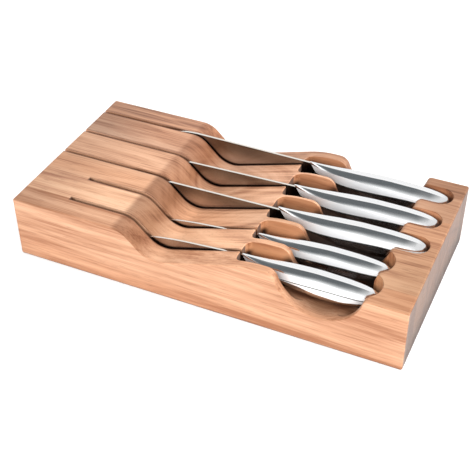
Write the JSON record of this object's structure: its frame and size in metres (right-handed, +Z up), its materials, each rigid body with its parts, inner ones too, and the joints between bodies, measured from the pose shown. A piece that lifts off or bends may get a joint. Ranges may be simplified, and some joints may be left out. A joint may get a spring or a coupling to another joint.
{
  "type": "knife block with knives",
  "caption": "Low wooden in-drawer knife block with slots, handle pockets and a finger trough, holding kitchen knives with hollow steel handles.",
  "frame": {"origin": "middle of the block's underside", "axes": "+X along the block from the blade end to the handle end, +Y across it from the short knives' side to the long knives' side, +Z up"},
  "size_m": [0.38, 0.191, 0.0693],
  "materials": {
    "wood": "oiled, satin",
    "blade_steel": "satin, finely ground",
    "handle_steel": "polished stainless steel",
    "weight_steel": "plain, hidden"
  },
  "bodies": {
    "block": {"stave_near": "wood", "stave_2": "wood", "stave_3": "wood", "stave_4": "wood", "stave_5": "wood", "stave_far": "wood"},
    "chef_knife": {"chef_knife_blade": "blade_steel", "chef_knife_bolster": "handle_steel", "chef_knife_upper_shell": "handle_steel", "chef_knife_lower_shell": "handle_steel", "chef_knife_weight": "weight_steel"},
    "slicer": {"slicer_blade": "blade_steel", "slicer_bolster": "handle_steel", "slicer_upper_shell": "handle_steel", "slicer_lower_shell": "handle_steel", "slicer_weight": "weight_steel"},
    "santoku": {"santoku_blade": "blade_steel", "santoku_bolster": "handle_steel", "santoku_upper_shell": "handle_steel", "santoku_lower_shell": "handle_steel", "santoku_weight": "weight_steel"},
    "utility_knife": {"utility_knife_blade": "blade_steel", "utility_knife_bolster": "handle_steel", "utility_knife_upper_shell": "handle_steel", "utility_knife_lower_shell": "handle_steel", "utility_knife_weight": "weight_steel"},
    "paring_knife": {"paring_knife_blade": "blade_steel", "paring_knife_bolster": "handle_steel", "paring_knife_upper_shell": "handle_steel", "paring_knife_lower_shell": "handle_steel", "paring_knife_weight": "weight_steel"}
  },
  "joints": [
    {"name": "chef_knife_lift", "type": "slide", "parent": "block", "child": "chef_knife", "axis": [0, 0, 1], "range_m": [0, 0.12]},
    {"name": "slicer_lift", "type": "slide", "parent": "block", "child": "slicer", "axis": [0, 0, 1], "range_m": [0, 0.12]},
    {"name": "santoku_lift", "type": "slide", "parent": "block", "child": "santoku", "axis": [0, 0, 1], "range_m": [0, 0.12]},
    {"name": "utility_knife_lift", "type": "slide", "parent": "block", "child": "utility_knife", "axis": [0, 0, 1], "range_m": [0, 0.12]},
    {"name": "paring_knife_lift", "type": "slide", "parent": "block", "child": "paring_knife", "axis": [0, 0, 1], "range_m": [0, 0.12]}
  ]
}
